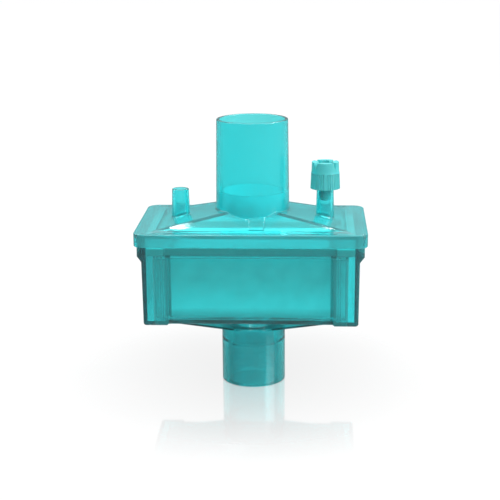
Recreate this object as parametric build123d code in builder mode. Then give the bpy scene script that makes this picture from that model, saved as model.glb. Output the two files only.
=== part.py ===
from build123d import *
from math import cos, hypot, radians, sin, tan
import os

# Rectangular breathing circuit filter, millimetres, +Z up.
# Origin: centre of the lower connector's mouth, which is what the filter stands on.

# Box and lid in plan
lid_length = 78.5
lid_depth = 47.0
lid_corner = 4.0
skirt_wall = 0.85
fit_gap = 0.1
rim_overhang = 1.6
rim_bevel_drop = 1.8
bevel_sink = 0.2
box_corner = 1.5
wall = 1.4
wall_draft = 0.7

# Heights
connector_drop = 26.0
box_height = 30.5
rim_height = 6.8
lid_wall = 1.5
skirt_height = 4.6
roof_rise = 4.95
socket_rise = 35.4

# Roof and floor, each a low hipped pyramid that leads to its connector
hip_margin_x = 6.85
hip_margin_y = 6.7
roof_corner_angle = 49.8
floor_corner_angle = 67.4
floor_drop = 5.7

# Upper connector, a 22 mm socket
socket_bore = 22.4
socket_depth = 24.8
socket_wall = 1.1
socket_draft = 0.75
socket_root = 0.2
neck_bore = 20.8

# Flat gusset down each long side of the roof, from the foot of the socket to the foot of the roof
gusset_x = 1.9
gusset_head_width = 6.0
gusset_foot_width = 5.2
gusset_lift = 0.45
gusset_edge = 0.4
gusset_sink = 0.4
gusset_reach = 5.6

# Lower connector, a 22 mm cone around a 15 mm socket
cone_diameter = 22.3
cone_wall = 1.2
inner_bore = 15.4
inner_wall = 1.25
inner_depth = 15.4
core_depth = 14.7
passage_bore = 14.4

# Corner posts, the recessed panel between them and the ribs inside the posts
post_width = 9.1
panel_recess = 1.7
rib_radius = 0.45
rib_height = 22.0
rib_offsets = (2.3, 4.7)

# Sampling ports
port_inset = 14.15
port_diameter = 5.84
port_draft = 1.4
port_bore = 4.2
port_rise = 10.9

# Filter media, one pleated sheet, and the adhesive frame that it is potted in
media_thickness = 0.7
media_gap = 0.15
leg_count = 22
media_height = 22.8
end_gap = 2.1
end_plate = 0.9
flange_height = 2.4
flange_lap = 1.0

# Port cap
cap_lift = 0.35
cap_height = 9.2
cap_skin = 1.2
collar_foot_diameter = 10.24
collar_head_diameter = 9.8
collar_height = 5.4
shoulder_height = 0.7
crown_foot_diameter = 9.5
crown_head_diameter = 9.3
crown_well = 5.2
crown_well_depth = 2.6
notch_width = 1.5
notch_depth = 2.5
tooth_count = 4
groove_count = 40
groove_radius = 0.3
groove_offset = 0.04
seat_diameter = 5.2
plug_diameter = 4.1
plug_taper = 1.7
plug_length = 3.95

# Both mouldings are cut level where their tubes begin, this far clear of the roundings there
seam_rise = 0.3

# Rounded edges
lid_edge = 0.4
skirt_foot_edge = 0.25
roof_edge = 0.4
port_foot_edge = 0.5
port_rim_edge = 0.25
mouth_edge = 0.35
post_edge = 0.4
floor_edge = 0.8
crown_edge = 0.75
collar_edge = 0.2
plug_edge = 1.2

# Levels above the lower mouth
floor_level = connector_drop
deck_level = floor_level + wall
fold_top = deck_level + media_height
weld_level = floor_level + box_height
rim_level = weld_level - rim_height
lid_level = weld_level + lid_wall
skirt_level = lid_level - skirt_height
root_level = lid_level + socket_root
port_level = lid_level + port_rise
top_level = lid_level + socket_rise
step_level = top_level - socket_depth
cap_foot = port_level + cap_lift
cap_top = cap_foot + cap_height

# Plan sizes that follow
rim_length = lid_length - 2 * (skirt_wall + fit_gap)
rim_depth = lid_depth - 2 * (skirt_wall + fit_gap)
rim_corner = lid_corner - skirt_wall - fit_gap
hip_length = lid_length - 2 * hip_margin_x
hip_depth = lid_depth - 2 * hip_margin_y
port_spacing = lid_length - 2 * port_inset
box_length = rim_length - 2 * rim_overhang
draft_inset = (rim_level - floor_level) * tan(radians(wall_draft))
panel_length = box_length - 2 * post_width
inside_length = box_length - 2 * (draft_inset + wall)
inside_depth = rim_depth - 2 * (panel_recess + draft_inset + wall)
pocket_depth = rim_depth - 2 * (draft_inset + wall)
pocket_inner = panel_length + 2 * wall
sheet_depth = inside_depth - 2 * media_gap
media_length = inside_length - 2 * (end_gap + end_plate)
socket_radius = socket_bore / 2 + socket_wall
roof_radius = socket_radius + (top_level - lid_level - roof_rise) * tan(radians(socket_draft))
cone_radius = cone_diameter / 2
cap_x = port_spacing / 2
tip_radius = plug_diameter / 2 - plug_length * tan(radians(plug_taper))


class Hip:
    """A low hipped pyramid: four planes that rise from a rectangle to the side of a round tube."""

    def __init__(self, rise, tube_radius, corner_angle):
        self.rise = rise
        self.end_x = tube_radius * cos(radians(corner_angle))
        self.end_y = tube_radius * sin(radians(corner_angle))
        self.side_slope = rise / (hip_length / 2 - self.end_x)
        self.front_slope = rise / (hip_depth / 2 - self.end_y)

    def section(self, height, inset=0.0):
        """Half length and half depth at a height, on a skin that lies inset below the planes."""
        return (
            hip_length / 2 - (height + inset * hypot(1, self.side_slope)) / self.side_slope,
            hip_depth / 2 - (height + inset * hypot(1, self.front_slope)) / self.front_slope,
        )


roof = Hip(roof_rise, roof_radius, roof_corner_angle)
floor = Hip(floor_drop, cone_radius, floor_corner_angle)

# Seam levels, and how a block stands on one or hangs from it
port_foot_run = port_inset - hip_margin_x + port_diameter / 2 + port_foot_edge
port_seam = lid_level + roof.side_slope * port_foot_run + port_foot_edge + seam_rise
socket_seam = lid_level + roof_rise + roof_edge + seam_rise
connector_seam = floor_level - floor_drop - seam_rise
stand = (Align.CENTER, Align.CENTER, Align.MIN)
hang = (Align.CENTER, Align.CENTER, Align.MAX)


def rectangle_at(level, half_sizes):
    """A rectangle on the level plane, as a stage of a loft."""
    with BuildSketch(Plane.XY.offset(level)) as stage:
        Rectangle(2 * half_sizes[0], 2 * half_sizes[1])
    return stage.sketch


# A gusset as it lies on a side of the roof, with its long edges rounded
with BuildPart() as gusset:
    with BuildSketch(Plane.XY.offset(-gusset_sink)):
        Polygon(
            (-gusset_foot_width / 2, 0),
            (gusset_foot_width / 2, 0),
            (gusset_head_width / 2, gusset_reach),
            (-gusset_head_width / 2, gusset_reach),
            align=None,
        )
    extrude(amount=gusset_sink + gusset_lift)
    fillet(gusset.edges().group_by(Axis.Z)[-1].filter_by(lambda e: abs(e.center().X) > fit_gap), gusset_edge)

# Upper housing: lid, hipped roof, 22 mm socket and both sampling ports in one moulding
with BuildPart() as upper_moulding:
    with BuildSketch(Plane.XY.offset(skirt_level)):
        RectangleRounded(lid_length, lid_depth, lid_corner)
    extrude(amount=skirt_height)
    fillet(upper_moulding.edges().group_by(Axis.Z)[-1], lid_edge)
    fillet(upper_moulding.edges().group_by(Axis.Z)[0], skirt_foot_edge)
    roof_foot = rectangle_at(lid_level, roof.section(0))
    roof_head = rectangle_at(lid_level + roof_rise, roof.section(roof_rise))
    loft([roof_foot, roof_head])
    with BuildSketch(Plane.XY.offset(top_level)):
        Circle(socket_radius)
    extrude(amount=root_level - top_level, taper=-socket_draft)
    # the ridges and the foot of the socket, then the feet of the ports
    roof_edges = upper_moulding.edges().filter_by(
        lambda e: lid_level + lid_edge < e.center().Z < lid_level + roof_rise + lid_edge
    )
    fillet(roof_edges, roof_edge)
    for side_y in (-1, 1):
        facet = Plane(
            origin=(gusset_x, side_y * hip_depth / 2, lid_level),
            x_dir=(-side_y, 0, 0),
            z_dir=(0, side_y * roof.front_slope, 1),
        )
        with Locations(facet):
            add(gusset.part)
    with BuildSketch(Plane.XY.offset(port_level)):
        with Locations((-port_spacing / 2, 0), (port_spacing / 2, 0)):
            Circle(port_diameter / 2)
    extrude(amount=root_level - port_level, taper=-port_draft)
    port_feet = upper_moulding.edges().filter_by(
        lambda e: lid_level < e.center().Z < lid_level + roof_rise
        and hypot(abs(e.center().X) - port_spacing / 2, e.center().Y) < port_diameter
    )
    fillet(port_feet, port_foot_edge)
    port_rims = upper_moulding.edges().filter_by(lambda e: abs(e.center().Z - port_level) < fit_gap)
    fillet(port_rims, port_rim_edge)
    # hollow: inside of the skirt, underside of the roof, neck, socket and port bores
    with BuildSketch(Plane.XY.offset(skirt_level)):
        RectangleRounded(lid_length - 2 * skirt_wall, lid_depth - 2 * skirt_wall, lid_corner - skirt_wall)
    extrude(amount=skirt_height - lid_wall, mode=Mode.SUBTRACT)
    vault_foot = rectangle_at(weld_level, roof.section(-lid_wall, lid_wall))
    vault_head = rectangle_at(weld_level + roof_rise, roof.section(roof_rise - lid_wall, lid_wall))
    loft([vault_foot, vault_head], mode=Mode.SUBTRACT)
    with BuildSketch(Plane.XY.offset(weld_level)):
        Circle(neck_bore / 2)
    extrude(amount=step_level - weld_level, mode=Mode.SUBTRACT)
    with BuildSketch(Plane.XY.offset(step_level)):
        Circle(socket_bore / 2)
    extrude(amount=socket_depth, mode=Mode.SUBTRACT)
    with BuildSketch(Plane.XY.offset(weld_level)):
        with Locations((-port_spacing / 2, 0), (port_spacing / 2, 0)):
            Circle(port_bore / 2)
    extrude(amount=port_level - weld_level, mode=Mode.SUBTRACT)
    fillet(upper_moulding.edges().group_by(Axis.Z)[-1], mouth_edge)

# Blocks that cut the tubes off both mouldings
with BuildPart() as socket_block:
    with Locations((0, 0, socket_seam)):
        Box(port_spacing - 2 * port_diameter, lid_depth, socket_rise, align=stand)
with BuildPart() as open_port_block:
    with Locations((-port_spacing / 2, 0, port_seam)):
        Box(2 * port_diameter, 2 * port_diameter, port_rise, align=stand)
with BuildPart() as capped_port_block:
    with Locations((port_spacing / 2, 0, port_seam)):
        Box(2 * port_diameter, 2 * port_diameter, port_rise, align=stand)
with BuildPart() as connector_block:
    with Locations((0, 0, connector_seam)):
        Box(2 * cone_diameter, 2 * cone_diameter, connector_drop, align=hang)

# The upper moulding as four solids that meet face to face
with BuildPart() as socket_tube:
    add(upper_moulding.part)
    add(socket_block.part, mode=Mode.INTERSECT)
socket_tube.part.label = "socket_tube"

with BuildPart() as open_port:
    add(upper_moulding.part)
    add(open_port_block.part, mode=Mode.INTERSECT)
open_port.part.label = "open_port"

with BuildPart() as capped_port:
    add(upper_moulding.part)
    add(capped_port_block.part, mode=Mode.INTERSECT)
capped_port.part.label = "capped_port"

with BuildPart() as lid:
    add(upper_moulding.part)
    add(socket_block.part, mode=Mode.SUBTRACT)
    add(open_port_block.part, mode=Mode.SUBTRACT)
    add(capped_port_block.part, mode=Mode.SUBTRACT)
lid.part.label = "lid"

# Bevels under the rim at both ends, which stop short of the posts' inner edges
with BuildPart() as rim_bevels:
    with BuildSketch(Plane.XY.offset(rim_level - rim_bevel_drop)) as bevel_foot:
        RectangleRounded(box_length - bevel_sink, rim_depth - 2 * bevel_sink, box_corner)
    with BuildSketch(Plane.XY.offset(rim_level)) as bevel_head:
        RectangleRounded(rim_length, rim_depth - bevel_sink, rim_corner)
    loft([bevel_foot.sketch, bevel_head.sketch])
    with Locations((0, 0, rim_level)):
        Box(box_length - post_width, lid_depth, 4 * rim_bevel_drop, mode=Mode.SUBTRACT)

# Lower housing: box with corner posts, rim, hipped floor and the double connector in one moulding
with BuildPart() as lower_moulding:
    with BuildSketch(Plane.XY.offset(rim_level)) as box_plan:
        RectangleRounded(box_length, rim_depth, box_corner)
        with Locations((0, -rim_depth / 2), (0, rim_depth / 2)):
            Rectangle(panel_length, 2 * panel_recess, mode=Mode.SUBTRACT)
        recess_corners = box_plan.vertices().filter_by(lambda v: abs(abs(v.X) - panel_length / 2) < fit_gap)
        fillet(recess_corners, post_edge)
    extrude(amount=floor_level - rim_level, taper=wall_draft)
    fillet(lower_moulding.edges().group_by(Axis.Z)[0], floor_edge)
    with BuildSketch(Plane.XY.offset(rim_level)):
        RectangleRounded(rim_length, rim_depth, rim_corner)
    extrude(amount=rim_height)
    add(rim_bevels.part)
    # hipped floor and the outside of the connector
    floor_head = rectangle_at(floor_level, floor.section(0))
    floor_foot = rectangle_at(floor_level - floor_drop, floor.section(floor_drop))
    loft([floor_head, floor_foot])
    with BuildSketch(Plane.XY):
        Circle(cone_radius)
    extrude(amount=connector_seam)
    with BuildSketch(Plane.XY.offset(connector_seam)):
        Circle(cone_radius)
    extrude(amount=floor_level - connector_seam, taper=-socket_draft)
    # hollow: box, corner pockets, funnel, passage and the cored double connector
    with BuildSketch(Plane.XY.offset(deck_level)):
        Rectangle(inside_length, inside_depth)
        Rectangle(inside_length, pocket_depth)
        Rectangle(pocket_inner, pocket_depth, mode=Mode.SUBTRACT)
        Rectangle(pocket_inner, inside_depth)
    extrude(amount=weld_level - deck_level, mode=Mode.SUBTRACT)
    funnel_head = rectangle_at(deck_level, floor.section(-wall, wall))
    funnel_foot = rectangle_at(deck_level - floor_drop, floor.section(floor_drop - wall, wall))
    loft([funnel_head, funnel_foot], mode=Mode.SUBTRACT)
    with BuildSketch(Plane.XY.offset(inner_depth)):
        Circle(passage_bore / 2)
    extrude(amount=deck_level - inner_depth, mode=Mode.SUBTRACT)
    with BuildSketch(Plane.XY):
        Circle(inner_bore / 2)
    extrude(amount=inner_depth, mode=Mode.SUBTRACT)
    with BuildSketch(Plane.XY):
        Circle(cone_radius - cone_wall)
        Circle(inner_bore / 2 + inner_wall, mode=Mode.SUBTRACT)
    extrude(amount=core_depth, mode=Mode.SUBTRACT)
    fillet(lower_moulding.edges().group_by(Axis.Z)[0], mouth_edge)
    # upright ribs inside the posts
    for side_x in (-1, 1):
        for side_y in (-1, 1):
            for offset_x in rib_offsets:
                rib_x = side_x * (panel_length / 2 + offset_x)
                with Locations((rib_x, side_y * pocket_depth / 2, deck_level)):
                    Cylinder(rib_radius, rib_height, align=stand)
                with Locations((rib_x, side_y * pocket_depth / 2, deck_level + rib_height)):
                    Sphere(rib_radius)

# The lower moulding as two solids that meet face to face
with BuildPart() as connector:
    add(lower_moulding.part)
    add(connector_block.part, mode=Mode.INTERSECT)
connector.part.label = "connector"

with BuildPart() as filter_box:
    add(lower_moulding.part)
    add(connector_block.part, mode=Mode.SUBTRACT)
filter_box.part.label = "filter_box"

# Filter media: one sheet folded into upright pleats whose folds run along the box
fold_pitch = (sheet_depth - media_thickness) / (leg_count - 1)
fold_radius = fold_pitch / 2
low_z = deck_level + media_thickness / 2 + fold_radius
high_z = fold_top - media_thickness / 2 - fold_radius
with BuildPart() as filter_media:
    with BuildSketch(Plane.YZ.offset(-media_length / 2)):
        with BuildLine():
            for leg in range(leg_count):
                leg_y = leg * fold_pitch - (sheet_depth - media_thickness) / 2
                Line((leg_y, low_z), (leg_y, high_z))
                if leg < leg_count - 1:
                    fold_z, bulge = (low_z, -fold_radius) if leg % 2 else (high_z, fold_radius)
                    crest = (leg_y + fold_radius, fold_z + bulge)
                    ThreePointArc((leg_y, fold_z), crest, (leg_y + fold_pitch, fold_z))
        trace(line_width=media_thickness)
    extrude(amount=media_length)

filter_media.part.label = "filter_media"

# Potting frame: adhesive cast over both ends of the pleats and around their top
with BuildPart() as potting_frame:
    with BuildSketch(Plane.XY.offset(deck_level)):
        with Locations((-(media_length + end_plate) / 2, 0), ((media_length + end_plate) / 2, 0)):
            Rectangle(end_plate, sheet_depth)
    extrude(amount=media_height)
    with BuildSketch(Plane.XY.offset(fold_top)):
        Rectangle(inside_length, pocket_depth)
        Rectangle(pocket_inner, pocket_depth, mode=Mode.SUBTRACT)
        Rectangle(inside_length, inside_depth)
        Rectangle(media_length - 2 * flange_lap, sheet_depth - 2 * flange_lap, mode=Mode.SUBTRACT)
    extrude(amount=flange_height)

potting_frame.part.label = "potting_frame"

# Port cap: ribbed collar, crown of teeth and a tapered plug, in one moulding
with BuildPart() as port_cap:
    with BuildSketch(Plane.XZ) as cap_profile:
        with BuildLine():
            Polyline(
                (cap_x, cap_top - crown_well_depth),
                (cap_x + crown_well / 2, cap_top - crown_well_depth),
                (cap_x + crown_well / 2, cap_top),
                (cap_x + crown_head_diameter / 2, cap_top),
                (cap_x + crown_foot_diameter / 2, cap_foot + collar_height + shoulder_height),
                (cap_x + collar_head_diameter / 2, cap_foot + collar_height),
                (cap_x + collar_foot_diameter / 2, cap_foot),
                (cap_x + collar_foot_diameter / 2 - cap_skin, cap_foot),
                (cap_x + collar_foot_diameter / 2 - cap_skin, cap_foot + collar_height),
                (cap_x + seat_diameter / 2, cap_foot + collar_height),
                (cap_x + seat_diameter / 2, port_level),
                (cap_x + plug_diameter / 2, port_level),
                (cap_x + tip_radius, port_level - plug_length),
                (cap_x, port_level - plug_length),
                close=True,
            )
        make_face()
        corners = cap_profile.vertices()
        fillet(corners.filter_by(lambda v: v.Y < port_level - fit_gap and v.X > cap_x + fit_gap), plug_edge)
        fillet(corners.filter_by(lambda v: v.Y > cap_top - fit_gap), crown_edge)
        fillet(corners.filter_by(lambda v: abs(v.Y - cap_foot) < fit_gap), collar_edge)
    revolve(axis=Axis((cap_x, 0, 0), (0, 0, 1)))
    # ribs: fine grooves down the collar, with a plain land under the middle of each tooth
    lean = (collar_foot_diameter - collar_head_diameter) / 2 / collar_height
    ring_radius = collar_foot_diameter / 2 + groove_offset
    grooves = []
    for step in range(groove_count):
        angle = radians(360 * step / groove_count)
        if step % (groove_count // tooth_count):
            foot_point = (cap_x + ring_radius * cos(angle), ring_radius * sin(angle), cap_foot)
            inward = (-lean * cos(angle), -lean * sin(angle), 1)
            grooves.append(Plane(origin=foot_point, x_dir=(-sin(angle), cos(angle), 0), z_dir=inward))
    with Locations(*grooves):
        Cylinder(groove_radius, collar_height, align=stand, mode=Mode.SUBTRACT)
    # notches that split the crown into its teeth
    for tooth in range(tooth_count):
        angle = radians(360 * (tooth + 0.5) / tooth_count)
        across = (-sin(angle), cos(angle), 0)
        outward = (cos(angle), sin(angle), 0)
        with BuildSketch(Plane(origin=(cap_x, 0, cap_top), x_dir=across, z_dir=outward)):
            with BuildLine():
                Polyline((-notch_width / 2, 0), (notch_width / 2, 0), (0, -notch_depth), close=True)
            make_face()
        extrude(amount=collar_foot_diameter / 2, mode=Mode.SUBTRACT)

port_cap.part.label = "port_cap"

os.makedirs("parts", exist_ok=True)
housing_pieces = (lid, socket_tube, open_port, capped_port, filter_box, connector)
for piece in (*housing_pieces, filter_media, potting_frame, port_cap):
    export_step(piece.part, f"parts/{piece.part.label}.step")
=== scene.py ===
import random
from math import cos, pi, radians, sin

import bmesh
import bpy
from mathutils import Matrix, Vector


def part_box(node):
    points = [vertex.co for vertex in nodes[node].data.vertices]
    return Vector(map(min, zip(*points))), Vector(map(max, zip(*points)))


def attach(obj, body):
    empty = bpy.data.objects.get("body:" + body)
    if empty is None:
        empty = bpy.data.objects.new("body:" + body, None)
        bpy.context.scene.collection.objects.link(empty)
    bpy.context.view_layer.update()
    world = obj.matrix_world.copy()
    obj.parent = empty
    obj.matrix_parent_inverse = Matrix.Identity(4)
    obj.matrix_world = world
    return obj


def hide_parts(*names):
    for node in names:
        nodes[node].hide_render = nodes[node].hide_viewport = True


mm = 0.001
close = {"merge": 0.001 * mm, "sliver": 0.002 * mm, "level": 0.01 * mm}  # distances that count as none

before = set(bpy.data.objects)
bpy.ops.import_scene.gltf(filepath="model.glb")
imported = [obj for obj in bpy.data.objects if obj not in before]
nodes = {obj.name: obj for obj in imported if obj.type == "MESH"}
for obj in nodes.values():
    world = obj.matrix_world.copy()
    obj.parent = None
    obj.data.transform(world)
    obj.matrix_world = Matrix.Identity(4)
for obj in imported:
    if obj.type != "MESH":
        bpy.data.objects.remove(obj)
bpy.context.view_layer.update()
print("frame loaded:", len(nodes), "nodes")


def toLinear(hexColour):
    # a colour as it looks on screen, to the linear values that shaders take
    parts = [int(hexColour[i:i + 2], 16) / 255 for i in (1, 3, 5)]
    return [p / 12.92 if p < 0.04045 else ((p + 0.055) / 1.055) ** 2.4 for p in parts] + [1.0]


def addNode(tree, kind, settings=None, links=None):
    # a shader node, its properties or input values, and the outputs that feed its inputs
    node = tree.nodes.new(kind)
    for key, value in (settings or {}).items():
        if isinstance(key, int) or key in node.inputs:
            node.inputs[key].default_value = value
        else:
            setattr(node, key, value)
    for key, output in (links or {}).items():
        tree.links.new(output, node.inputs[key])
    return node


def newMaterial(name):
    material = bpy.data.materials.new(name)
    material.use_nodes = True
    material.node_tree.nodes.clear()
    return material, material.node_tree


def newPiece(name, bm):
    mesh = bpy.data.meshes.new(name)
    bm.to_mesh(mesh)
    bm.free()
    piece = bpy.data.objects.new(name, mesh)
    bpy.context.scene.collection.objects.link(piece)
    return piece


def solidCopy(nodeName):
    # a CAD node comes as loose triangles: the copy has them joined
    bm = bmesh.new()
    bm.from_mesh(nodes[nodeName].data)
    bmesh.ops.remove_doubles(bm, verts=bm.verts[:], dist=close["merge"])
    return bm


def bakeModifiers(piece):
    # the piece's mesh as its modifiers leave it, and no modifiers
    shown = piece.evaluated_get(bpy.context.evaluated_depsgraph_get())
    mesh = bpy.data.meshes.new_from_object(shown)
    piece.modifiers.clear()
    piece.data = mesh


def dress(piece, body, material, replaced):
    piece.data.materials.clear()
    piece.data.materials.append(material)
    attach(piece, body)
    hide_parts(*replaced)


# the two clear mouldings, lid and box
housing = {
    "lidParts": ("lid", "socket_tube", "open_port", "capped_port"),
    "boxParts": ("filter_box", "connector"),
    "weldGap": 0.05 * mm,   # air left between lid and box beside the weld
    "flatAngle": 0.6,       # degrees, within which triangles belong to one flat face
    "flatWidth": 1.5 * mm,  # narrower flat faces are steps of a rounding
    "creaseAngle": 4.0,     # degrees, between two wide flat faces
    "sharpAngle": 36.0,     # degrees, between any faces
}


def flatRegions(bm, angle):
    # numbers each triangle by the flat face it is part of, and gives the width of each face
    regionOf, widths = {}, []
    for seed in bm.faces:
        if seed in regionOf:
            continue
        number, area, outline, queue = len(widths), 0.0, 0.0, [seed]
        regionOf[seed] = number
        while queue:
            face = queue.pop()
            area += face.calc_area()
            for edge in face.edges:
                if len(edge.link_faces) == 2 and edge.calc_face_angle(pi) < angle:
                    for other in edge.link_faces:
                        if other not in regionOf:
                            regionOf[other] = number
                            queue.append(other)
                else:
                    outline += edge.calc_length()
        widths.append(2 * area / outline if outline else 0.0)
    return regionOf, widths


def markCreases(piece, settings):
    # sharp where two real faces meet, smooth over the steps of roundings and tubes
    bm = bmesh.new()
    bm.from_mesh(piece.data)
    bmesh.ops.dissolve_degenerate(bm, edges=bm.edges[:], dist=close["sliver"])
    regionOf, widths = flatRegions(bm, radians(settings["flatAngle"]))
    for edge in bm.edges:
        angle = edge.calc_face_angle(pi)
        wide = all(widths[regionOf[face]] > settings["flatWidth"] for face in edge.link_faces)
        limit = settings["creaseAngle"] if wide else settings["sharpAngle"]
        edge.smooth = angle < radians(limit)
    for face in bm.faces:
        face.smooth = True
    bm.to_mesh(piece.data)
    bm.free()


def weighNormals(piece):
    # wide faces keep their own direction, so that flats stay flat beside their roundings
    weigh = piece.modifiers.new("weigh", "WEIGHTED_NORMAL")
    weigh.mode = "FACE_AREA"
    weigh.weight = 60  # 50 is neutral, and above it wide faces count for more
    weigh.keep_sharp = True
    bakeModifiers(piece)


def joinMoulding(name, parts):
    # the solids that one moulding was cut into, joined into one skin again
    piece = newPiece(name, solidCopy(parts[0]))
    others = [newPiece("join_" + part, solidCopy(part)) for part in parts[1:]]
    for other in others:
        join = piece.modifiers.new("join", "BOOLEAN")
        join.operation = "UNION"
        join.solver = "EXACT"
        join.object = other
    bakeModifiers(piece)
    for other in others:
        bpy.data.objects.remove(other)
    return piece


lidPiece = joinMoulding("clearLid", housing["lidParts"])
boxPiece = joinMoulding("clearBox", housing["boxParts"])
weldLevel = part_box("filter_box")[1].z
for vert in boxPiece.data.vertices:
    if vert.co.z > weldLevel - close["level"]:
        vert.co.z -= housing["weldGap"]
for piece in (lidPiece, boxPiece):
    markCreases(piece, housing)
    weighNormals(piece)
    print(piece.name, "joined:", len(piece.data.polygons), "faces")


pleats = {
    "legs": 22,
    "thickness": 0.7 * mm,
    "legSteps": 6,           # down each leg
    "crestSteps": 8,         # round each fold
    "stations": 24,          # along the folds
    "seed": 11,
    "bow": 0.05 * mm,        # how far a leg strays from flat
    "bowWaves": 3,           # half waves along a leg
    "crestDrop": 0.18 * mm,  # how unevenly high the folds are
    "crestTurns": (5, 2.4),  # radians of that, along a fold and from one leg to the next
    "crestLimit": 3,         # keeps it to the folds, away from the legs
}


def makePleats(settings):
    # the sheet's middle line as a chain of points, drawn out along the folds, then given its thickness
    low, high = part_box("filter_media")
    draw = random.Random(settings["seed"])
    half = settings["thickness"] / 2
    pitch = (high.y - low.y - settings["thickness"]) / (settings["legs"] - 1)
    radius = pitch / 2
    bm = bmesh.new()
    chain = []
    for leg in range(settings["legs"]):
        y = low.y + half + leg * pitch
        ends = (low.z + half + radius, high.z - half - radius)
        rising = leg % 2 == 0
        steps = settings["legSteps"]
        heights = [ends[0] + (ends[1] - ends[0]) * k / steps for k in range(steps + 1)]
        for z in (heights if rising else heights[::-1]):
            chain.append((y, z, leg))
        if leg < settings["legs"] - 1:
            for k in range(1, settings["crestSteps"]):
                turn = pi * k / settings["crestSteps"]
                lift = radius * sin(turn) * (1 if rising else -1)
                z = ends[1] + lift if rising else ends[0] + lift
                chain.append((y + radius * (1 - cos(turn)), z, leg))
    verts = [bm.verts.new((low.x, y, z)) for y, z, leg in chain]
    for a, b in zip(verts, verts[1:]):
        bm.edges.new((a, b))
    stride = (high.x - low.x) / settings["stations"]
    edges = bm.edges[:]
    for step in range(settings["stations"]):
        made = bmesh.ops.extrude_edge_only(bm, edges=edges)["geom"]
        moved = [item for item in made if isinstance(item, bmesh.types.BMVert)]
        bmesh.ops.translate(bm, verts=moved, vec=(stride, 0, 0))
        front = low.x + (step + 1) * stride
        edges = [item for item in made if isinstance(item, bmesh.types.BMEdge)
                 and all(abs(vert.co.x - front) < close["level"] for vert in item.verts)]
    # legs bow a little and folds are unevenly high, always inside the sheet's own room
    bows = [(draw.uniform(-1, 1), draw.uniform(0, 2 * pi)) for leg in range(settings["legs"] + 1)]
    middle, reach = (low.z + high.z) / 2, (high.z - low.z) / 2
    alongTurn, legTurn = settings["crestTurns"]
    for vert in bm.verts:
        leg = min(max(round((vert.co.y - low.y - half) / pitch), 0), settings["legs"] - 1)
        along = (vert.co.x - low.x) / (high.x - low.x)
        size, phase = bows[leg]
        calm = 1 - ((vert.co.z - middle) / reach) ** 2
        if 0 < leg < settings["legs"] - 1:
            vert.co.y += settings["bow"] * size * sin(settings["bowWaves"] * pi * along + phase) * calm
        uneven = 0.5 + 0.5 * sin(alongTurn * along + legTurn * leg)
        drop = settings["crestDrop"] * uneven * max(0, 1 - settings["crestLimit"] * calm)
        vert.co.z -= drop * (1 if vert.co.z > middle else -1)
    bmesh.ops.recalc_face_normals(bm, faces=bm.faces[:])
    for face in bm.faces:
        face.smooth = True
    piece = newPiece("pleatedSheet", bm)
    sheet = piece.modifiers.new("thickness", "SOLIDIFY")
    sheet.thickness = settings["thickness"]
    sheet.offset = 0
    bakeModifiers(piece)
    return piece


mediaPiece = makePleats(pleats)
print("pleated sheet folded:", len(mediaPiece.data.polygons), "faces")


# the cast adhesive round the sheet, with edges that surface tension rounded
potting = {"flatAngle": 1.0, "sharpAngle": 40.0, "round": 0.2 * mm, "segments": 2, "bond": 0.04 * mm}

bm = solidCopy("potting_frame")
bmesh.ops.dissolve_limit(bm, angle_limit=radians(potting["flatAngle"]), verts=bm.verts[:], edges=bm.edges[:])
rims = [edge for edge in bm.edges if edge.calc_face_angle(0) > radians(potting["sharpAngle"])]
bmesh.ops.bevel(bm, geom=rims, offset=potting["round"], offset_type="OFFSET", affect="EDGES",
                segments=potting["segments"], profile=0.5, material=-1, clamp_overlap=True)
bm.normal_update()
for vert in bm.verts:  # cast against the walls, so it wets them with no air between
    vert.co += vert.normal * potting["bond"]
for face in bm.faces:
    face.smooth = True
pottingPiece = newPiece("pottingFrame", bm)
weighNormals(pottingPiece)
print("potting frame rounded:", len(pottingPiece.data.polygons), "faces")

# the cap keeps its ribs and teeth crisp
cap = {"flatAngle": 0.6, "flatWidth": 1.2 * mm, "creaseAngle": 20.0, "sharpAngle": 42.0}

capPiece = newPiece("portCap", solidCopy("port_cap"))
markCreases(capPiece, cap)
weighNormals(capPiece)
print("port cap ready:", len(capPiece.data.polygons), "faces")


clearPlastic = {
    "absorbColour": (0.1, 0.914, 0.921, 1.0),  # red is taken out, blue and green mostly stay
    "absorbDensity": 700.0,
    "ior": 1.5,
    "roughness": 0.08,          # what lies behind the wall is seen softly
    "glossSpread": (0.6, 1.4),  # times the roughness, in slow patches
    "haze": "#98F1F3",          # the tint of each surface
    "clearShare": 0.94,
    "satin": "#46B4B7",         # the skirt, which the weld fixture grips, is less clear
    "satinShare": 0.5,
    "satinWidth": 0.8 * mm,     # how deep into the skirt it reaches
    "fade": 0.5 * mm,           # how softly posts and ledges end
    "neckSatin": "#5EE2E5",     # less clear too is the neck, which the core pin is drawn from
    "neckRadius": 10.5 * mm,
    "postFace": 21.6 * mm,      # the posts' outer faces lie beyond this
    "postTop": 49.6 * mm,
    "postEnd": 32.2 * mm,
    "postSatin": 0.6,           # of the skirt's share
    "ledgeWidth": 6.85 * mm,    # the flat ledges at the lid's two ends
    "ledgeSatin": 0.3,          # of the skirt's share
    "flowSize": 9 * mm,
    "flowDepth": 0.012 * mm,
}


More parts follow.
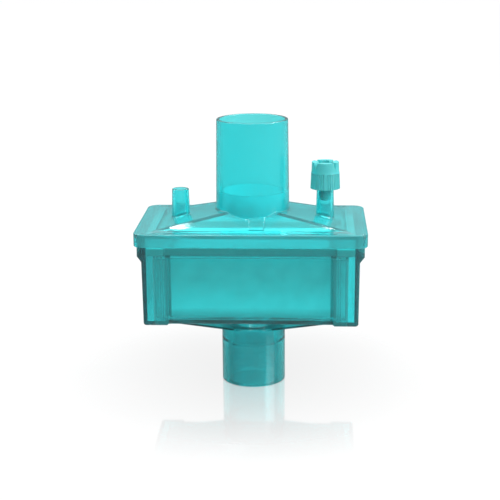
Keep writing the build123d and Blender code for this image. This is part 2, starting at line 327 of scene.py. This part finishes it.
def makeClearPlastic(settings):
    # styrene copolymer, injection moulded in a polished mould: tinted glass that deepens with thickness,
    # with a faint waviness where the melt cooled
    material, tree = newMaterial("clearTealStyreneMoulded")
    place = addNode(tree, "ShaderNodeTexCoord")
    flow = addNode(tree, "ShaderNodeTexNoise",
                   {"Scale": 1 / settings["flowSize"], "Detail": 2.0, "Roughness": 0.4},
                   {"Vector": place.outputs["Object"]})
    wave = addNode(tree, "ShaderNodeBump", {"Strength": 0.25, "Distance": settings["flowDepth"]},
                   {"Height": flow.outputs["Fac"]})
    glossier, duller = settings["glossSpread"]
    gloss = addNode(tree, "ShaderNodeMapRange",
                    {"From Min": 0.3, "From Max": 0.7,
                     "To Min": settings["roughness"] * glossier, "To Max": settings["roughness"] * duller},
                    {"Value": flow.outputs["Fac"]})
    across = addNode(tree, "ShaderNodeSeparateXYZ", None, {0: place.outputs["Object"]})
    side = addNode(tree, "ShaderNodeMath", {"operation": "ABSOLUTE"}, {0: across.outputs["X"]})
    depth = addNode(tree, "ShaderNodeMath", {"operation": "ABSOLUTE"}, {0: across.outputs["Y"]})
    above = addNode(tree, "ShaderNodeMath", {"operation": "GREATER_THAN", 1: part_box("filter_box")[1].z},
                    {0: across.outputs["Z"]})
    # the skirt is the lid's outermost skin
    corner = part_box("lid")[1]
    endSkin = addNode(tree, "ShaderNodeMath",
                      {"operation": "GREATER_THAN", 1: corner.x - settings["satinWidth"]},
                      {0: side.outputs[0]})
    longSkin = addNode(tree, "ShaderNodeMath",
                       {"operation": "GREATER_THAN", 1: corner.y - settings["satinWidth"]},
                       {0: depth.outputs[0]})
    skirt = addNode(tree, "ShaderNodeMath", {"operation": "MAXIMUM"},
                    {0: endSkin.outputs[0], 1: longSkin.outputs[0]})
    # the wall of the neck, below the step in the socket
    flat = addNode(tree, "ShaderNodeVectorMath", {"operation": "MULTIPLY", 1: (1, 1, 0)},
                   {0: place.outputs["Object"]})
    radius = addNode(tree, "ShaderNodeVectorMath", {"operation": "LENGTH"}, {0: flat.outputs[0]})
    inside = addNode(tree, "ShaderNodeMath", {"operation": "LESS_THAN", 1: settings["neckRadius"]},
                     {0: radius.outputs["Value"]})
    neck = addNode(tree, "ShaderNodeMath", {"operation": "MULTIPLY"},
                   {0: inside.outputs[0], 1: above.outputs[0]})
    # the outer faces of the posts, below the rim
    outer = addNode(tree, "ShaderNodeMath", {"operation": "GREATER_THAN", 1: settings["postFace"]},
                    {0: depth.outputs[0]})
    low = addNode(tree, "ShaderNodeMath", {"operation": "LESS_THAN", 1: settings["postTop"]},
                  {0: across.outputs["Z"]})
    near = addNode(tree, "ShaderNodeMapRange",
                   {"From Min": settings["postEnd"], "From Max": settings["postEnd"] + settings["fade"],
                    "To Min": 1.0, "To Max": 0.0}, {"Value": side.outputs[0]})
    face = addNode(tree, "ShaderNodeMath", {"operation": "MULTIPLY"},
                   {0: outer.outputs[0], 1: low.outputs[0]})
    posts = addNode(tree, "ShaderNodeMath", {"operation": "MULTIPLY"},
                    {0: face.outputs[0], 1: near.outputs["Result"]})
    faint = addNode(tree, "ShaderNodeMath", {"operation": "MULTIPLY", 1: settings["postSatin"]},
                    {0: posts.outputs[0]})
    # the flat ledges at the lid's two ends
    inward = corner.x - settings["ledgeWidth"]
    end = addNode(tree, "ShaderNodeMapRange",
                  {"From Min": inward, "From Max": inward + settings["fade"],
                   "To Max": settings["ledgeSatin"]}, {"Value": side.outputs[0]})
    ledge = addNode(tree, "ShaderNodeMath", {"operation": "MULTIPLY"},
                    {0: end.outputs["Result"], 1: above.outputs[0]})
    skin = addNode(tree, "ShaderNodeMath", {"operation": "MAXIMUM"},
                   {0: skirt.outputs[0], 1: ledge.outputs[0]})
    # each such place has its own tint and lets less light straight through
    covered = addNode(tree, "ShaderNodeMath", {"operation": "MAXIMUM"},
                      {0: skin.outputs[0], 1: posts.outputs[0]})
    outside = addNode(tree, "ShaderNodeMix", {"data_type": "RGBA"}, {0: covered.outputs[0]})
    outside.inputs[6].default_value = toLinear(settings["haze"])
    outside.inputs[7].default_value = toLinear(settings["satin"])
    colour = addNode(tree, "ShaderNodeMix", {"data_type": "RGBA"},
                     {0: neck.outputs[0], 6: outside.outputs[2]})
    colour.inputs[7].default_value = toLinear(settings["neckSatin"])
    milky = addNode(tree, "ShaderNodeMath", {"operation": "MAXIMUM"},
                    {0: skin.outputs[0], 1: faint.outputs[0]})
    satin = addNode(tree, "ShaderNodeMath", {"operation": "MAXIMUM"},
                    {0: milky.outputs[0], 1: neck.outputs[0]})
    share = addNode(tree, "ShaderNodeMapRange",
                    {"To Min": settings["clearShare"], "To Max": 1 - settings["satinShare"]},
                    {"Value": satin.outputs[0]})
    body = addNode(tree, "ShaderNodeBsdfPrincipled", {"IOR": settings["ior"]},
                   {"Base Color": colour.outputs[2], "Transmission Weight": share.outputs["Result"],
                    "Roughness": gloss.outputs["Result"], "Normal": wave.outputs["Normal"]})
    # light reaches what is inside through the walls, dimmed by their thickness alone
    through = addNode(tree, "ShaderNodeBsdfTransparent")
    path = addNode(tree, "ShaderNodeLightPath")
    surface = addNode(tree, "ShaderNodeMixShader", None,
                      {0: path.outputs["Is Shadow Ray"], 1: body.outputs[0], 2: through.outputs[0]})
    tint = addNode(tree, "ShaderNodeVolumeAbsorption",
                   {"Color": settings["absorbColour"], "Density": settings["absorbDensity"]})
    addNode(tree, "ShaderNodeOutputMaterial", None,
            {"Surface": surface.outputs[0], "Volume": tint.outputs[0]})
    return material


nonwoven = {
    "pale": "#F0F2F1",
    "deep": "#B1B8B5",
    "fibre": 0.35 * mm,    # tufts of fibre: single ones are far too fine to show
    "cloud": 4.9 * mm,     # how large the thicker and thinner patches are
    "relief": 0.03 * mm,
    "footPaintedLight": 0.9,       # painted light from below: the lower folds are pale
    "paintedLightReach": 14 * mm,  # and the painted light fades to deep over this height
    "crest": 0.8 * mm,     # painted light from above: the upper folds are pale again
    "darkBand": "#878E8C",   # darker along the posts
    # from the middle outwards, the darker band starts, is full, thins and ends
    "darkBandReach": (26.8 * mm, 27.1 * mm, 28.6 * mm, 29.0 * mm),
}


def makeNonwoven(settings):
    # glass and polyester nonwoven, wet laid and resin bonded: white, matt, with a faint felted mottle
    material, tree = newMaterial("whiteNonwovenSheet")
    place = addNode(tree, "ShaderNodeTexCoord")
    fibres = addNode(tree, "ShaderNodeTexNoise",
                     {"Scale": 1 / settings["fibre"], "Detail": 6.0, "Roughness": 0.7, "Distortion": 1.2},
                     {"Vector": place.outputs["Object"]})
    clouds = addNode(tree, "ShaderNodeTexNoise", {"Scale": 1 / settings["cloud"], "Detail": 3.0},
                     {"Vector": place.outputs["Object"]})
    blend = addNode(tree, "ShaderNodeMath", {"operation": "MULTIPLY_ADD", 1: 0.5},
                    {0: fibres.outputs["Fac"], 2: clouds.outputs["Fac"]})
    mottle = addNode(tree, "ShaderNodeMapRange", {"From Min": 0.5, "From Max": 1.0, "To Max": 0.25},
                     {"Value": blend.outputs[0]})
    # painted light: pale folds below and above
    across = addNode(tree, "ShaderNodeSeparateXYZ", None, {0: place.outputs["Object"]})
    foot, head = (corner.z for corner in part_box("filter_media"))
    rise = addNode(tree, "ShaderNodeMapRange",
                   {"From Min": foot, "From Max": foot + settings["paintedLightReach"],
                    "To Min": settings["footPaintedLight"], "To Max": 0.0}, {"Value": across.outputs["Z"]})
    crest = addNode(tree, "ShaderNodeMapRange",
                    {"From Min": head - 2 * settings["crest"], "From Max": head - settings["crest"]},
                    {"Value": across.outputs["Z"]})
    pale = addNode(tree, "ShaderNodeMath", {"operation": "MAXIMUM"},
                   {0: rise.outputs["Result"], 1: crest.outputs["Result"]})
    share = addNode(tree, "ShaderNodeMath", {"operation": "ADD", "use_clamp": True},
                    {0: mottle.outputs["Result"], 1: pale.outputs[0]})
    colour = addNode(tree, "ShaderNodeMix", {"data_type": "RGBA"}, {0: share.outputs[0]})
    colour.inputs[6].default_value = toLinear(settings["deep"])
    colour.inputs[7].default_value = toLinear(settings["pale"])
    # the darker band along the posts
    start, full, thinning, gone = settings["darkBandReach"]
    side = addNode(tree, "ShaderNodeMath", {"operation": "ABSOLUTE"}, {0: across.outputs["X"]})
    inner = addNode(tree, "ShaderNodeMapRange", {"From Min": start, "From Max": full},
                    {"Value": side.outputs[0]})
    outer = addNode(tree, "ShaderNodeMapRange",
                    {"From Min": thinning, "From Max": gone, "To Min": 1.0, "To Max": 0.0},
                    {"Value": side.outputs[0]})
    darkBandShare = addNode(tree, "ShaderNodeMath", {"operation": "MULTIPLY"},
                  {0: inner.outputs["Result"], 1: outer.outputs["Result"]})
    darkBand = addNode(tree, "ShaderNodeMix", {"data_type": "RGBA"}, {0: darkBandShare.outputs[0], 6: colour.outputs[2]})
    darkBand.inputs[7].default_value = toLinear(settings["darkBand"])
    relief = addNode(tree, "ShaderNodeBump", {"Strength": 0.5, "Distance": settings["relief"]},
                     {"Height": fibres.outputs["Fac"]})
    body = addNode(tree, "ShaderNodeBsdfPrincipled",
                   {"Roughness": 0.9, "Sheen Weight": 0.15, "Specular IOR Level": 0.3},
                   {"Base Color": darkBand.outputs[2], "Normal": relief.outputs["Normal"]})
    addNode(tree, "ShaderNodeOutputMaterial", None, {"Surface": body.outputs[0]})
    return material


adhesive = {
    "pale": "#9AA19F",
    "deep": "#878F8D",
    "skin": "#B2B9B6",     # painted light from above: paler on faces that point up
    "cloud": 6 * mm,
    "relief": 0.05 * mm,
    "gloss": (0.28, 0.42),
}


def makeAdhesive(settings):
    # polyurethane potting compound, cast and cured: milky, satin, with soft flow marks
    material, tree = newMaterial("castPolyurethanePotting")
    place = addNode(tree, "ShaderNodeTexCoord")
    flow = addNode(tree, "ShaderNodeTexNoise",
                   {"Scale": 1 / settings["cloud"], "Detail": 3.0, "Distortion": 0.6},
                   {"Vector": place.outputs["Object"]})
    cast = addNode(tree, "ShaderNodeMix", {"data_type": "RGBA"}, {0: flow.outputs["Fac"]})
    cast.inputs[6].default_value = toLinear(settings["deep"])
    cast.inputs[7].default_value = toLinear(settings["pale"])
    # painted light: faces that point up take the paler colour
    facing = addNode(tree, "ShaderNodeSeparateXYZ", None, {0: place.outputs["Normal"]})
    paintedTopLight = addNode(tree, "ShaderNodeMapRange", {"From Min": 0.5, "From Max": 0.9},
                     {"Value": facing.outputs["Z"]})
    colour = addNode(tree, "ShaderNodeMix", {"data_type": "RGBA"},
                     {0: paintedTopLight.outputs["Result"], 6: cast.outputs[2]})
    colour.inputs[7].default_value = toLinear(settings["skin"])
    relief = addNode(tree, "ShaderNodeBump", {"Strength": 0.4, "Distance": settings["relief"]},
                     {"Height": flow.outputs["Fac"]})
    glossier, duller = settings["gloss"]
    gloss = addNode(tree, "ShaderNodeMapRange", {"To Min": glossier, "To Max": duller},
                    {"Value": flow.outputs["Fac"]})
    body = addNode(tree, "ShaderNodeBsdfPrincipled", {"IOR": 1.5},
                   {"Base Color": colour.outputs[2], "Roughness": gloss.outputs["Result"],
                    "Normal": relief.outputs["Normal"]})
    addNode(tree, "ShaderNodeOutputMaterial", None, {"Surface": body.outputs[0]})
    return material


polyethylene = {
    "light": "#4BB9BB",
    "deep": "#43AEB0",
    "cloud": 2.5 * mm,
    "grain": 0.12 * mm,     # the mould's texture
    "relief": 0.006 * mm,
    "gloss": (0.3, 0.45),
    "waxiness": 0.15,       # how much light spreads under the surface, and how far
    "spread": 0.8 * mm,
}


def makePolyethylene(settings):
    # low density polyethylene, moulded in a lightly textured mould: waxy and satin, slightly uneven in colour
    material, tree = newMaterial("turquoisePolyethyleneMoulded")
    place = addNode(tree, "ShaderNodeTexCoord")
    clouds = addNode(tree, "ShaderNodeTexNoise", {"Scale": 1 / settings["cloud"], "Detail": 2.0},
                     {"Vector": place.outputs["Object"]})
    grain = addNode(tree, "ShaderNodeTexNoise", {"Scale": 1 / settings["grain"], "Detail": 2.0},
                    {"Vector": place.outputs["Object"]})
    colour = addNode(tree, "ShaderNodeMix", {"data_type": "RGBA"}, {0: clouds.outputs["Fac"]})
    colour.inputs[6].default_value = toLinear(settings["deep"])
    colour.inputs[7].default_value = toLinear(settings["light"])
    relief = addNode(tree, "ShaderNodeBump", {"Strength": 0.3, "Distance": settings["relief"]},
                     {"Height": grain.outputs["Fac"]})
    glossier, duller = settings["gloss"]
    gloss = addNode(tree, "ShaderNodeMapRange", {"To Min": glossier, "To Max": duller},
                    {"Value": clouds.outputs["Fac"]})
    body = addNode(tree, "ShaderNodeBsdfPrincipled",
                   {"IOR": 1.51, "Subsurface Weight": settings["waxiness"],
                    "Subsurface Scale": settings["spread"]},
                   {"Base Color": colour.outputs[2], "Roughness": gloss.outputs["Result"],
                    "Normal": relief.outputs["Normal"]})
    addNode(tree, "ShaderNodeOutputMaterial", None, {"Surface": body.outputs[0]})
    return material


clearTeal = makeClearPlastic(clearPlastic)
dress(lidPiece, "housing", clearTeal, housing["lidParts"])
dress(boxPiece, "housing", clearTeal, housing["boxParts"])
dress(mediaPiece, "housing", makeNonwoven(nonwoven), ("filter_media",))
dress(pottingPiece, "housing", makeAdhesive(adhesive), ("potting_frame",))
dress(capPiece, "cap", makePolyethylene(polyethylene), ("port_cap",))
print("pieces dressed")


# table, light and camera
studio = {
    "tableSize": 6.0,
    "tableColour": "#B4B4B4",
    "paintedShadowColour": "#646464",  # painted shadow: darker below the box, where it is seen through the connector
    "shadeReach": (12 * mm, 64 * mm),
    "tableGlow": 1.06,       # the camera sees this plain white, and under it a share of the lit table
    "tableShadow": 0.1,      # that share: the shadow stays faint, as on a light table
    "tableInMirror": 0.35,   # how much of the table's light the object's own gloss shows
    "tableMirror": 0.5,
    "tableRoughness": 0.05,
    "mirrorReach": (9 * mm, 82 * mm),  # the reflection fades out between these distances
    "bandLevel": 0.35,       # the backdrop's low edge is unlit in reflections, up to these heights
    "bandTop": (0.26, 0.34),
    "ambientLeft": 0.3,
    "ambientRight": 1.15,
    "ambientBelow": 0.05,    # times that, level with the horizon, and rising to the next one straight above
    "ambientAbove": 2.2,
    "lampAim": 50 * mm,      # the lamps face this height on the object's axis
    # name, place, size, power: the facets mirror what hangs overhead, so the two small lamps light the
    # hip's lower ends there, edgeLeft draws the light line on the lid's front edge, the side lamps light
    # the edges of the gusset, and fillRight the right side of the cap
    "softboxes": (
        ("softboxTop", (0.15, -0.55, 1.1), (0.6, 0.4), 2.5),
        ("lampLeft", (-0.135, 0.102, 1.05), (0.024, 0.024), 0.08),
        ("lampRight", (0.048, 0.101, 1.05), (0.012, 0.012), 0.035),
        ("edgeLeft", (-0.135, -0.45, 0.9), (0.06, 0.5), 1.6),
        ("sideLeft", (-0.8, 0.4, 1.0), (0.4, 0.4), 5.0),
        ("sideRight", (0.7, 0.35, 1.0), (0.4, 0.4), 7.0),
        ("fillRight", (0.9, -0.4, 0.6), (0.7, 0.8), 7.5),
    ),
}

bm = bmesh.new()
bmesh.ops.create_grid(bm, x_segments=1, y_segments=1, size=studio["tableSize"] / 2)
table = newPiece("table", bm)

material, tree = newMaterial("glossyWhiteTable")
path = addNode(tree, "ShaderNodeLightPath")
glow = addNode(tree, "ShaderNodeMath", {"operation": "MULTIPLY", 1: 1 - studio["tableShadow"]},
               {0: path.outputs["Is Camera Ray"]})
light = addNode(tree, "ShaderNodeEmission", {"Strength": studio["tableGlow"]})
# a ray that passed through plastic counts as glossy too, so a mirrored one is glossy and reflected
mirrored = addNode(tree, "ShaderNodeMath", {"operation": "MULTIPLY"},
                   {0: path.outputs["Is Glossy Ray"], 1: path.outputs["Is Reflection Ray"]})
place = addNode(tree, "ShaderNodeTexCoord")
away = addNode(tree, "ShaderNodeVectorMath", {"operation": "LENGTH"}, {0: place.outputs["Object"]})
shadeStart, shadeEnd = studio["shadeReach"]
fading = addNode(tree, "ShaderNodeMapRange", {"From Min": shadeStart, "From Max": shadeEnd},
                 {"Value": away.outputs["Value"]})
# painted shadow: the table's colour darkens towards the object
under = addNode(tree, "ShaderNodeMix", {"data_type": "RGBA"}, {0: fading.outputs["Result"]})
under.inputs[6].default_value = toLinear(studio["paintedShadowColour"])
under.inputs[7].default_value = toLinear(studio["tableColour"])
colour = addNode(tree, "ShaderNodeMix", {"data_type": "RGBA"}, {0: mirrored.outputs[0], 6: under.outputs[2]})
lit = toLinear(studio["tableColour"])[:3]
colour.inputs[7].default_value = [part * studio["tableInMirror"] for part in lit] + [1.0]
matt = addNode(tree, "ShaderNodeBsdfDiffuse", None, {"Color": colour.outputs[2]})
face = addNode(tree, "ShaderNodeMixShader", None,
               {0: glow.outputs[0], 1: matt.outputs[0], 2: light.outputs[0]})
mirror = addNode(tree, "ShaderNodeBsdfGlossy", {"Roughness": studio["tableRoughness"]})
mirrorStart, mirrorEnd = studio["mirrorReach"]
share = addNode(tree, "ShaderNodeMapRange",
                {"From Min": mirrorStart, "From Max": mirrorEnd,
                 "To Min": studio["tableMirror"], "To Max": 0.0}, {"Value": away.outputs["Value"]})
top = addNode(tree, "ShaderNodeMixShader", None,
              {0: share.outputs["Result"], 1: face.outputs[0], 2: mirror.outputs[0]})
addNode(tree, "ShaderNodeOutputMaterial", None, {"Surface": top.outputs[0]})
table.data.materials.append(material)

# the world is plain white where it is seen, and lights the object softly from above and from the right
world = bpy.data.worlds.new("studio")
bpy.context.scene.world = world
world.use_nodes = True
tree = world.node_tree
tree.nodes.clear()
path = addNode(tree, "ShaderNodeLightPath")
aim = addNode(tree, "ShaderNodeTexCoord")
across = addNode(tree, "ShaderNodeSeparateXYZ", None, {0: aim.outputs["Generated"]})
bandStart, bandEnd = studio["bandTop"]
band = addNode(tree, "ShaderNodeMapRange",
               {"From Min": bandStart, "From Max": bandEnd, "To Min": studio["bandLevel"]},
               {"Value": across.outputs["Z"]})
gleam = addNode(tree, "ShaderNodeMath", {"operation": "MULTIPLY"},
                {0: path.outputs["Is Glossy Ray"], 1: band.outputs["Result"]})
straight = addNode(tree, "ShaderNodeMath", {"operation": "MAXIMUM"},
                   {0: path.outputs["Is Camera Ray"], 1: path.outputs["Is Transmission Ray"]})
seen = addNode(tree, "ShaderNodeMath", {"operation": "MAXIMUM"},
               {0: straight.outputs[0], 1: path.outputs["Is Glossy Ray"]})
white = addNode(tree, "ShaderNodeMath", {"operation": "MAXIMUM"},
                {0: straight.outputs[0], 1: gleam.outputs[0]})
fall = addNode(tree, "ShaderNodeMapRange",
               {"From Min": -1.0, "From Max": 1.0,
                "To Min": studio["ambientLeft"], "To Max": studio["ambientRight"]},
               {"Value": across.outputs["X"]})
rise = addNode(tree, "ShaderNodeMapRange",
               {"From Min": 0.0, "From Max": 1.0,
                "To Min": studio["ambientBelow"], "To Max": studio["ambientAbove"]},
               {"Value": across.outputs["Z"]})
ambient = addNode(tree, "ShaderNodeMath", {"operation": "MULTIPLY"},
                  {0: fall.outputs["Result"], 1: rise.outputs["Result"]})
level = addNode(tree, "ShaderNodeMapRange", None,
                {"Value": seen.outputs[0], "To Min": ambient.outputs[0], "To Max": white.outputs[0]})
sky = addNode(tree, "ShaderNodeBackground", {"Color": (1, 1, 1, 1)}, {"Strength": level.outputs["Result"]})
addNode(tree, "ShaderNodeOutputWorld", None, {"Surface": sky.outputs[0]})

lampAim = Vector((0, 0, studio["lampAim"]))
for name, place, size, power in studio["softboxes"]:
    lamp = bpy.data.lights.new(name, "AREA")
    lamp.shape = "RECTANGLE"
    lamp.size, lamp.size_y = size
    lamp.energy = power
    holder = bpy.data.objects.new(name, lamp)
    bpy.context.scene.collection.objects.link(holder)
    facing = (lampAim - Vector(place)).to_track_quat("-Z", "Y")
    holder.matrix_world = Matrix.Translation(place) @ facing.to_matrix().to_4x4()

view = {
    "place": (20.35 * mm, -429.52 * mm, 157.91 * mm),
    "turn": 2.855,  # degrees, about the upright axis
    "tilt": 75.532,
    "roll": -0.428,
    "lens": 91.13,  # mm, with a film this wide
    "film": 36.0,
}
cameraData = bpy.data.cameras.new("camera")
cameraData.sensor_width = view["film"]
cameraData.lens = view["lens"]
cameraData.clip_start = 0.01
camera = bpy.data.objects.new("camera", cameraData)
bpy.context.scene.collection.objects.link(camera)
camera.matrix_world = (
    Matrix.Translation(view["place"])
    @ Matrix.Rotation(radians(view["turn"]), 4, "Z")
    @ Matrix.Rotation(radians(view["tilt"]), 4, "X")
    @ Matrix.Rotation(radians(view["roll"]), 4, "Z")
)
bpy.context.scene.camera = camera
bpy.context.scene.view_settings.view_transform = "Standard"
print("studio ready")
